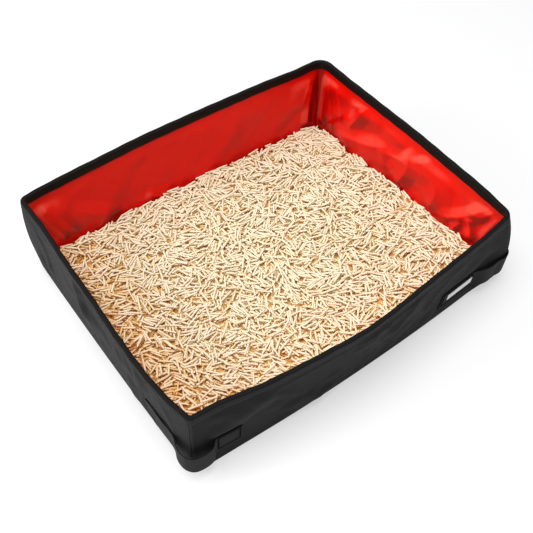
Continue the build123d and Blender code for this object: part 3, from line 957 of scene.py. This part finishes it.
for wallName in longWalls + shortWalls:
    half = walls[wallName]["half"]
    if wallName in longWalls:
        length, limits = 2 * half, lambda up: (-half, half)
    else:
        length, limits = binding["shortLength"], lambda up: (-middleHalf(up), middleHalf(up))
    bindStretch(wallName, wallName, wallName, limits, length, f"{wallName}_rim_binding",
                lambda piece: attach(piece, f"{wallName}_wall"))
    for endName, side in () if wallName in longWalls else wallEnds(wallName):
        limits = (lambda up: (middleHalf(up), half)) if side > 0 else (lambda up: (-half, -middleHalf(up)))
        corner = cornerName(wallName, endName)
        bindStretch(f"{corner}Gusset", corner, wallName, limits, binding["gussetLength"],
                    f"{endName}_{wallName}_gusset_binding",
                    lambda piece: blendCorner(piece))
print("binding made")

# Seams up the corners: two rolled ridges with a groove between them
seam = {
    "width": 0.0062, "rise": 0.0011, "low": tray["longHinge"] + 0.0007, "high": tray["rim"] - 0.0138,
    "proud": 0.0003, "edge": 0.0008, "thick": 0.0005, "step": (0.0004, 0.005),
}
for wallName in longWalls:
    wall = walls[wallName]
    for side in (-1, 1):
        def place(offset, up):
            perAcross = cornerRadius(wall, np.array(side), up) * math.pi / 4 / tray["cornerZone"]
            ridge = np.cos(offset / seam["width"] * 4 * math.pi) * -0.5 + 0.5
            edge = smoothStep(0, seam["edge"], seam["width"] / 2 - np.abs(offset))
            across = side * wall["half"] + offset / perAcross
            return onWall(wall, across, up, -seam["proud"] - seam["rise"] * ridge * edge)
        bm = flatCloth((-seam["width"] / 2, seam["width"] / 2), (seam["low"], seam["high"]), seam["step"])
        setOn(bm, place, seam["thick"])
        end = "left" if side * wall["along"][0] < 0 else "right"
        piece = newPiece(f"{wallName}{end.capitalize()}Seam", bm, finishes["seam"])
        blendUp(piece, wallName)
        fit(piece, "rim_tape", f"{wallName}_{end}_corner_seam")
print("seams made")

# Straps: webbing sewn to the front wall, slack round the corner and sewn to the short wall. Each strap's
# start is measured from the corner, sewn is its flat length, way runs in from the long and the short wall,
# and halfway is the point of the way where its front part ends
strap = {
    "low": sewnOn["low"], "high": sewnOn["high"], "thick": 0.0014, "seat": 0.0004, "step": (0.0022, 0.0046),
    "tabStart": 0.084, "tabLength": 0.014, "turn": 0.008, "withCorner": 0.45,
    "left": {
        "start": 0.034, "sewn": 0.0385, "halfway": 4,
        "way": ((0.0255, -0.0104), (0.0165, -0.0120), (0.008, -0.0115), (-0.002, -0.0085), (-0.0084, -0.0012),
                (-0.0108, 0.009), (-0.0096, 0.0195), (-0.0060, 0.0285), (-0.0042, 0.04), (-0.0042, 0.06)),
    },
    "right": {
        "start": 0.058, "sewn": 0.070, "halfway": 6,
        "way": ((0.050, -0.0108), (0.041, -0.0138), (0.029, -0.0150), (0.0165, -0.0136), (0.006, -0.0100),
                (-0.004, -0.0062), (-0.0098, 0.0005), (-0.0122, 0.0105), (-0.0105, 0.021), (-0.0068, 0.031),
                (-0.0052, 0.045), (-0.0052, 0.062)),
    },
}
patchLine = {  # the stitching round a strap's patch, near black: real stitching, and painted shadow of its groove
    "width": 0.0023, "inset": 0.002, "low": 0.005, "high": 0.0015, "over": 0.0002, "thick": 0.0003,
    "step": (0.004, 0.004),
}


def strapLines(shortName, up):  # the strap's line in plan at one height, from its patch to its tab
    shape = strap[shortName]
    front, short = walls["front"], walls[shortName]
    xSide = 1 if shortName == "right" else -1
    stand = -strap["seat"] - (strap["thick"] if xSide > 0 else 0)  # its thickness goes inwards or outwards
    height = np.array([up])

    def sewnTo(wall, side, away):
        return onWall(wall, np.array([side * (wall["half"] - away)]), height, stand)[0]

    sewn = [sewnTo(front, xSide, away)
            for away in np.linspace(shape["start"] + shape["sewn"], shape["start"], 7)]
    tab = [sewnTo(short, -xSide, away)
           for away in np.linspace(strap["tabStart"], strap["tabStart"] + strap["tabLength"], 3)]
    loose = []
    for inLong, inShort in shape["way"]:
        x = tray["middle"].x + xSide * (front["half"] - inLong)
        y = tray["middle"].y - front["reach"] + inShort
        if inLong > strap["turn"]:
            y = min(y, sewnTo(front, xSide, inLong)[1] - strap["thick"])
        if inShort > strap["turn"]:
            x = xSide * max(xSide * x, xSide * sewnTo(short, -xSide, inShort)[0] + strap["thick"])
        if max(inLong, inShort) < strap["turn"]:
            moveX, moveY = leaning(x, y, up)
            x, y = x + moveX * strap["withCorner"], y + moveY * strap["withCorner"]
        loose.append((x, y))
    return np.array([point[:2] for point in sewn + loose + tab]), len(sewn) + shape["halfway"]


strapLengths = {}
for shortName in shortWalls:
    (lowLine, middleOf), (highLine, _) = (strapLines(shortName, strap[key]) for key in ("low", "high"))
    run = runAlong((lowLine + highLine) / 2)
    strapLengths[shortName] = round(float(run[-1]), 3)
    xSide = 1 if shortName == "right" else -1

    def strapPlace(along, up):
        share = (up - strap["low"]) / (strap["high"] - strap["low"])
        x, y = (smoothCurve(list(zip(run, lowLine[:, axis])), along) * (1 - share)
                + smoothCurve(list(zip(run, highLine[:, axis])), along) * share for axis in (0, 1))
        return np.stack([x, y, up], axis=1)

    start, end = strap[shortName]["start"], shortName.capitalize()
    corner = Vector((tray["middle"].x + xSide * tray["halfLength"], tray["middle"].y - tray["halfWidth"], 0))
    patch, loop, tab = (f"front_{shortName}_strap_{part}" for part in ("patch", "loop", "tab"))
    for part, ends, wallName, towards, nodes in (
            ("Front", (0, run[middleOf]), "front", Vector((-xSide * start, 0, 0)), (patch, loop)),
            ("Side", (run[middleOf], run[-1]), shortName, Vector((0, strap["tabStart"], 0)), (tab,))):
        bm = flatCloth(ends, (strap["low"], strap["high"]), strap["step"])
        setOn(bm, strapPlace, strap["thick"])
        bmesh.ops.recalc_face_normals(bm, faces=bm.faces[:])
        piece = newPiece(f"front{end}Strap{part}", bm, finishes["webbing"])
        fit(piece, "webbing", *nodes)
        corner + towards
        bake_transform(piece)

    out = patchLine["over"] + (strap["thick"] if xSide < 0 else 0)
    width, first, last = patchLine["width"], patchLine["inset"], strap[shortName]["sewn"] - patchLine["inset"]
    low, high = strap["low"] + patchLine["low"], strap["high"] - patchLine["high"]
    bm = bmesh.new()
    for across, up in (((first, last), (low, low + width)), ((first, last), (high - width, high)),
                       ((first, first + width), (low, high)), ((last - width, last), (low, high))):
        part = flatCloth(across, up, patchLine["step"])
        line = bpy.data.meshes.new("line")
        part.to_mesh(line)
        part.free()
        bm.from_mesh(line)
        bpy.data.meshes.remove(line)
    setOn(bm, lambda along, up: strapPlace(along, up) - np.array([0, out, 0]), patchLine["thick"], True)
    fit(newPiece(f"front{end}PatchLine", bm, finishes["stitchAndShadow"]), "webbing", body="front_wall")
print("straps made, their lengths", strapLengths)

# A plain label on the right strap
label = {"across": (0.1645, 0.2185), "up": (0.0475, 0.0605), "over": 0.0009, "thick": 0.0006}
bm = flatCloth(label["across"], label["up"], (0.002, 0.002))
labelDepth = -strap["seat"] - strap["thick"] - label["over"]
setOn(bm, lambda across, up: onWall(walls["front"], across, up, labelDepth), label["thick"])
fit(newPiece("plainTag", bm, finishes["label"]), "label", "blank_tag", body="front_wall")
print("label made")

# Litter: pressed sticks dropped one by one on a sloping bed
litter = {
    "count": 11600, "short": 0.011, "usual": 0.0165, "long": 0.028, "radius": 0.0015, "below": 0.0085,
    "cell": 0.001, "tries": 20, "samples": 11, "steepest": 0.22, "margin": 0.0038, "sides": 6,
    "thickness": (0.9, 1.1), "rounded": 0.035,  # its share of the radius, and how round its ends are
    "past": (0.004, 0.025),  # sticks are tried this far past the tray's lines, where the walls bow
    "beside": 0.6, "besideLower": 0.2, "lift": 0.8,  # in radii: where else a stick touches, how high it lies
    "steepCost": 0.004, "hollowCost": 0.8, "grid": (110, 86),
    "perPiece": 2900, "full": 0.0015, "core": 0.0046, "level": 0.03, "beyond": 0.03,
    # tone is the sticks' usual tone; darkBy, dimLeft and dimNear set painted shade, darker with depth and
    # near the left and front walls
    "tone": 0.78, "darkBy": 0.0105, "mixed": 0.12, "dimLeft": (0.13, 0.27, 0.55),
    "dimNear": (0.08, 0.2, 0.16), "bundle": 0.035, "spread": 0.75,  # sticks in a bundle lie nearly alike
    "heights": ((0.035, 0.038, 0.044), (0.031, 0.033, 0.029), (0.020, 0.021, 0.012)),  # front to rear
    "lumps": ((0.0012, 70, 83), (0.0008, 150, 120)),
}


def heapTop(x, y):
    across = np.clip((x - tray["middle"].x) / tray["halfLength"], -1, 1)
    away = np.clip((y - tray["middle"].y) / tray["halfWidth"], -1, 1)

    def through(first, middle, last, share):
        return middle + (last - first) / 2 * share + ((first + last) / 2 - middle) * share * share
    return through(*(through(*row, across) for row in litter["heights"]), away)


class Heap:
    def __init__(self):
        self.dice = np.random.default_rng(7)
        self.cell, half = litter["cell"], np.array([tray["halfLength"], tray["halfWidth"]])
        self.low = np.array(tray["middle"][:2]) - half - litter["beyond"]
        self.size = ((half * 2 + 2 * litter["beyond"]) / self.cell).astype(int)
        self.xs, self.ys = (self.low[n] + (np.arange(self.size[n]) + 0.5) * self.cell for n in (0, 1))
        x, y = np.meshgrid(self.xs, self.ys, indexing="ij")
        broad, small = litter["lumps"]
        lumps = broad[0] * np.sin(x * broad[1] + 1) * np.sin(y * broad[2])
        self.target = heapTop(x, y) + lumps + small[0] * np.sin(x * small[1] + y * small[2])
        self.height = self.target - litter["below"]
        self.floor = self.inside(x, y)
        self.sticks = []

    def inside(self, x, y):  # within the lining's inner face, less a margin
        x, y = x - tray["middle"].x, y - tray["middle"].y
        shareX, shareY = x / tray["halfLength"], y / tray["halfWidth"]

        def room(wallName, share):
            reach = walls[wallName]["reach"] + standOut(walls[wallName], share, litter["level"])
            return reach - tray["wallThick"] - litter["margin"]
        return ((-y < room("front", shareX)) & (y < room("rear", -shareX))
                & (-x < room("left", -shareY)) & (x < room("right", shareY)))

    def lie(self, x, y):  # the direction that the sticks round a place share
        x, y = x * 2 * math.pi / litter["bundle"], y * 2 * math.pi / litter["bundle"]
        return 1.6 * (np.sin(x * 0.9 + 2 * np.sin(y * 0.4)) + np.cos(y + x * 0.5))

    def look(self, x, y):
        column, row = (np.clip(((value - low) / self.cell).astype(int), 0, size - 1)
                       for value, low, size in zip((x, y), self.low, self.size))
        return self.height[column, row], self.target[column, row]

    def drop(self):  # the best of several places for one stick, which rests on what lies there
        dice, tries = self.dice, litter["tries"]
        length = dice.triangular(litter["short"], litter["usual"], litter["long"])
        radius = litter["radius"] * dice.uniform(*litter["thickness"])
        x = tray["middle"].x + dice.uniform(-1, 1, tries) * (tray["halfLength"] + litter["past"][0])
        y = tray["middle"].y + dice.uniform(-1, 1, tries) * (tray["halfWidth"] + litter["past"][1])
        angle = self.lie(x, y) + dice.normal(0, litter["spread"], tries)
        dx, dy = np.cos(angle), np.sin(angle)
        t = np.linspace(-0.5, 0.5, litter["samples"]) * length
        px, py = x[:, None] + dx[:, None] * t, y[:, None] + dy[:, None] * t
        fits = self.inside(px[:, 0], py[:, 0]) & self.inside(px[:, -1], py[:, -1])
        if not fits.any():
            return
        heights, targets = self.look(px, py)
        for side in (-litter["beside"], litter["beside"]):
            beside, _ = self.look(px - dy[:, None] * radius * side, py + dx[:, None] * radius * side)
            heights = np.maximum(heights, beside - radius * litter["besideLower"])
        half = litter["samples"] // 2  # it leans on the highest two points, one at each side of its middle
        leftT, rightT = t[None, :half, None], t[None, None, half + 1:]
        leftH, rightH = heights[:, :half, None], heights[:, None, half + 1:]
        chord = (leftH * rightT - rightH * leftT) / (rightT - leftT)
        best = chord.reshape(tries, -1).argmax(axis=1)
        tilt = ((rightH - leftH) / (rightT - leftT)).reshape(tries, -1)[np.arange(tries), best]
        tilt = np.clip(tilt, -litter["steepest"], litter["steepest"])
        clear = heights - tilt[:, None] * t[None, :]
        level = np.max(clear, axis=1) * 0.5 + np.sort(clear, axis=1)[:, -3] * 0.5
        hollow = level - clear.mean(axis=1)
        over = level - targets[:, half] + np.abs(tilt) * litter["steepCost"] + hollow * litter["hollowCost"]
        n = int(np.where(fits, over, np.inf).argmin())
        self.place(x[n], y[n], level[n] + radius * litter["lift"], dx[n], dy[n], tilt[n], length, radius)

    def place(self, x, y, z, dx, dy, tilt, length, radius):
        run = length / math.hypot(1, tilt)
        self.sticks.append((x, y, z, dx, dy, tilt, length, radius))
        reach = run / 2 + radius
        first = np.maximum(((np.array([x, y]) - reach - self.low) / self.cell).astype(int), 0)
        last = ((np.array([x, y]) + reach - self.low) / self.cell).astype(int) + 2
        gx = self.xs[first[0]:last[0]][:, None] - x
        gy = self.ys[first[1]:last[1]][None, :] - y
        along = gx * dx + gy * dy
        away = gy * dx - gx * dy
        inside = (np.abs(along) < run / 2) & (np.abs(away) < radius)
        top = z + along * tilt + np.sqrt(np.maximum(radius * radius - away * away, 0))
        patch = self.height[first[0]:last[0], first[1]:last[1]]
        np.copyto(patch, np.maximum(patch, top), where=inside)


heap = Heap()
for n in range(litter["count"]):
    heap.drop()
    if n % 200 == 0 and float((heap.height - heap.target)[heap.floor].mean()) > litter["full"]:
        break
sticks = np.array(heap.sticks)
sticks[:, 0] += leaning(sticks[:, 0], sticks[:, 1], sticks[:, 2])[0]
print("litter:", len(sticks), "sticks, top", round(float(sticks[:, 2].max()), 4))


def stickMesh():  # one stick of unit length and radius, its ends a little rounded
    bm = bmesh.new()
    bmesh.ops.create_cone(bm, cap_ends=True, segments=litter["sides"], radius1=1, radius2=1, depth=1)
    rims = [edge for edge in bm.edges if abs(edge.verts[0].co.z - edge.verts[1].co.z) < 0.01]
    bmesh.ops.bevel(bm, geom=rims, offset=litter["rounded"], segments=1, affect="EDGES", profile=0.5,
                    material=-1)
    mesh = bpy.data.meshes.new("stick")
    bm.to_mesh(mesh)
    bm.free()
    mesh.shade_smooth()
    return mesh


def stickPiece(name, group, dice):
    template = stickMesh()
    row = show("row", template)
    array = row.modifiers.new("row", "ARRAY")
    array.count = len(group)
    bpy.context.view_layer.update()
    mesh = bpy.data.meshes.new_from_object(row.evaluated_get(bpy.context.evaluated_depsgraph_get()))
    shape = placesOf(template.vertices)
    bpy.data.objects.remove(row)
    x, y, z, dx, dy, tilt, length, radius = group.T
    axis = np.stack([dx, dy, tilt], axis=1)
    axis /= np.linalg.norm(axis, axis=1)[:, None]
    sideways = np.stack([-dy, dx, np.zeros(len(group))], axis=1)
    upwards = np.cross(axis, sideways)
    turn = dice.uniform(0, math.pi, len(group))
    first = sideways * np.cos(turn)[:, None] + upwards * np.sin(turn)[:, None]
    second = np.cross(axis, first)
    middle = np.stack([x, y, z], axis=1)
    places = (middle[:, None] + shape[None, :, 0:1] * (first * radius[:, None])[:, None]
              + shape[None, :, 1:2] * (second * radius[:, None])[:, None]
              + shape[None, :, 2:3] * (axis * length[:, None])[:, None])
    mesh.vertices.foreach_set("co", places.reshape(-1))
    tone = mesh.attributes.new("tone", "FLOAT", "POINT")
    depth = heap.look(x, y)[1] - z  # painted shade: deeper sticks are painted browner, for the shade and warm bounced light among the sticks above them
    shade = litter["tone"] - depth / litter["darkBy"] + dice.normal(0, litter["mixed"], len(group))
    sides = ((tray["middle"].x - x, litter["dimLeft"]), (tray["middle"].y - y, litter["dimNear"]))
    for away, (first, last, by) in sides:  # painted shade: darker and redder near the left and front walls, where the walls shade the sticks
        shade = shade - by * smoothStep(first, last, away)
    tone.data.foreach_set("value", np.repeat(np.clip(shade, 0, 1), len(shape)))
    mesh.update()
    mesh.materials.clear()
    mesh.materials.append(finishes["sticks"])
    mesh.name = name
    return show(name, mesh)


def squashLitter(piece, *nodes):
    fit(piece, "litter", *nodes, body="base")
    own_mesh(piece)


toneDice = np.random.default_rng(11)
for n in range(math.ceil(len(sticks) / litter["perPiece"])):
    group = sticks[n * litter["perPiece"]:(n + 1) * litter["perPiece"]]
    squashLitter(stickPiece(f"litterSticks{n + 1}", group, toneDice))

bedLow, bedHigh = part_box("litter_bed")
bedEdge, bedLift = 0.002, 0.0006  # the bed stays this far inside the space of the part's own
bm = bmesh.new()
bmesh.ops.create_grid(bm, x_segments=litter["grid"][0], y_segments=litter["grid"][1], size=0.5)
bmesh.ops.scale(bm, vec=(bedHigh.x - bedLow.x - bedEdge, bedHigh.y - bedLow.y - bedEdge, 1), verts=bm.verts)
bmesh.ops.translate(bm, vec=((bedLow.x + bedHigh.x) / 2, (bedLow.y + bedHigh.y) / 2, 0), verts=bm.verts)
lid = bmesh.ops.extrude_face_region(bm, geom=bm.faces[:])
lidVerts = [item for item in lid["geom"] if isinstance(item, bmesh.types.BMVert)]
for vert in bm.verts:
    vert.co.z = bedLow.z + bedLift
flat = placesOf(lidVerts)
for vert, height in zip(lidVerts, heapTop(flat[:, 0], flat[:, 1]) - litter["core"]):
    vert.co.z = height
bmesh.ops.recalc_face_normals(bm, faces=bm.faces[:])
squashLitter(newPiece("litterCore", bm, finishes["bed"]), "litter_bed")
print("litter made")

# Floor, light and camera
stage = {"size": 30, "world": 0.38}
bm = bmesh.new()
bmesh.ops.create_grid(bm, x_segments=1, y_segments=1, size=stage["size"] / 2)
ground = newPiece("floor", bm, floorFinish())

world = bpy.data.worlds.new("studio")
bpy.context.scene.world = world
studio = Nodes(world)
seen = studio.node("ShaderNodeLightPath", output="Is Camera Ray")  # white to the camera, dimmer to the part
strength = seen * (1 - stage["world"]) + stage["world"]
sky = studio.node("ShaderNodeBackground", inputs={"Color": (1, 1, 1, 1), "Strength": strength})
studio.node("ShaderNodeOutputWorld", inputs={"Surface": sky})


def softLight(name, at, aim, size, power):
    data = bpy.data.lights.new(name, "AREA")
    data.shape, data.size, data.energy = "DISK", size, power
    lamp = show(name, data)
    lamp.location = at
    lamp.rotation_euler = (Vector(aim) - Vector(at)).to_track_quat("-Z", "Y").to_euler()


softLight("sideLight", (-2.0, 0.8, 1.3), (0.1, 0, 0.1), 1.2, 21)
softLight("topLight", (-0.5, -0.08, 2.6), (0, 0, 0), 1.7, 60)

view = {
    "at": (-0.48636, -0.59740, 1.00223), "lens": 54.12, "sensor": 36,
    "down": math.radians(51.93), "around": math.radians(39.01), "roll": math.radians(2.71),
}
forward = Vector((math.sin(view["around"]) * math.cos(view["down"]),
                  math.cos(view["around"]) * math.cos(view["down"]), -math.sin(view["down"])))
level = Vector((math.cos(view["around"]), -math.sin(view["around"]), 0))
above = level.cross(forward)
rightwards = level * math.cos(view["roll"]) + above * math.sin(view["roll"])
upwards = above * math.cos(view["roll"]) - level * math.sin(view["roll"])
cameraData = bpy.data.cameras.new("camera")
cameraData.lens, cameraData.sensor_width = view["lens"], view["sensor"]
camera = show("camera", cameraData)
turn = Matrix((rightwards, upwards, -forward)).transposed()
camera.matrix_world = Matrix.Translation(view["at"]) @ turn.to_4x4()
bpy.context.scene.camera = camera
bpy.context.scene.view_settings.view_transform = "Standard"
print("stage made")
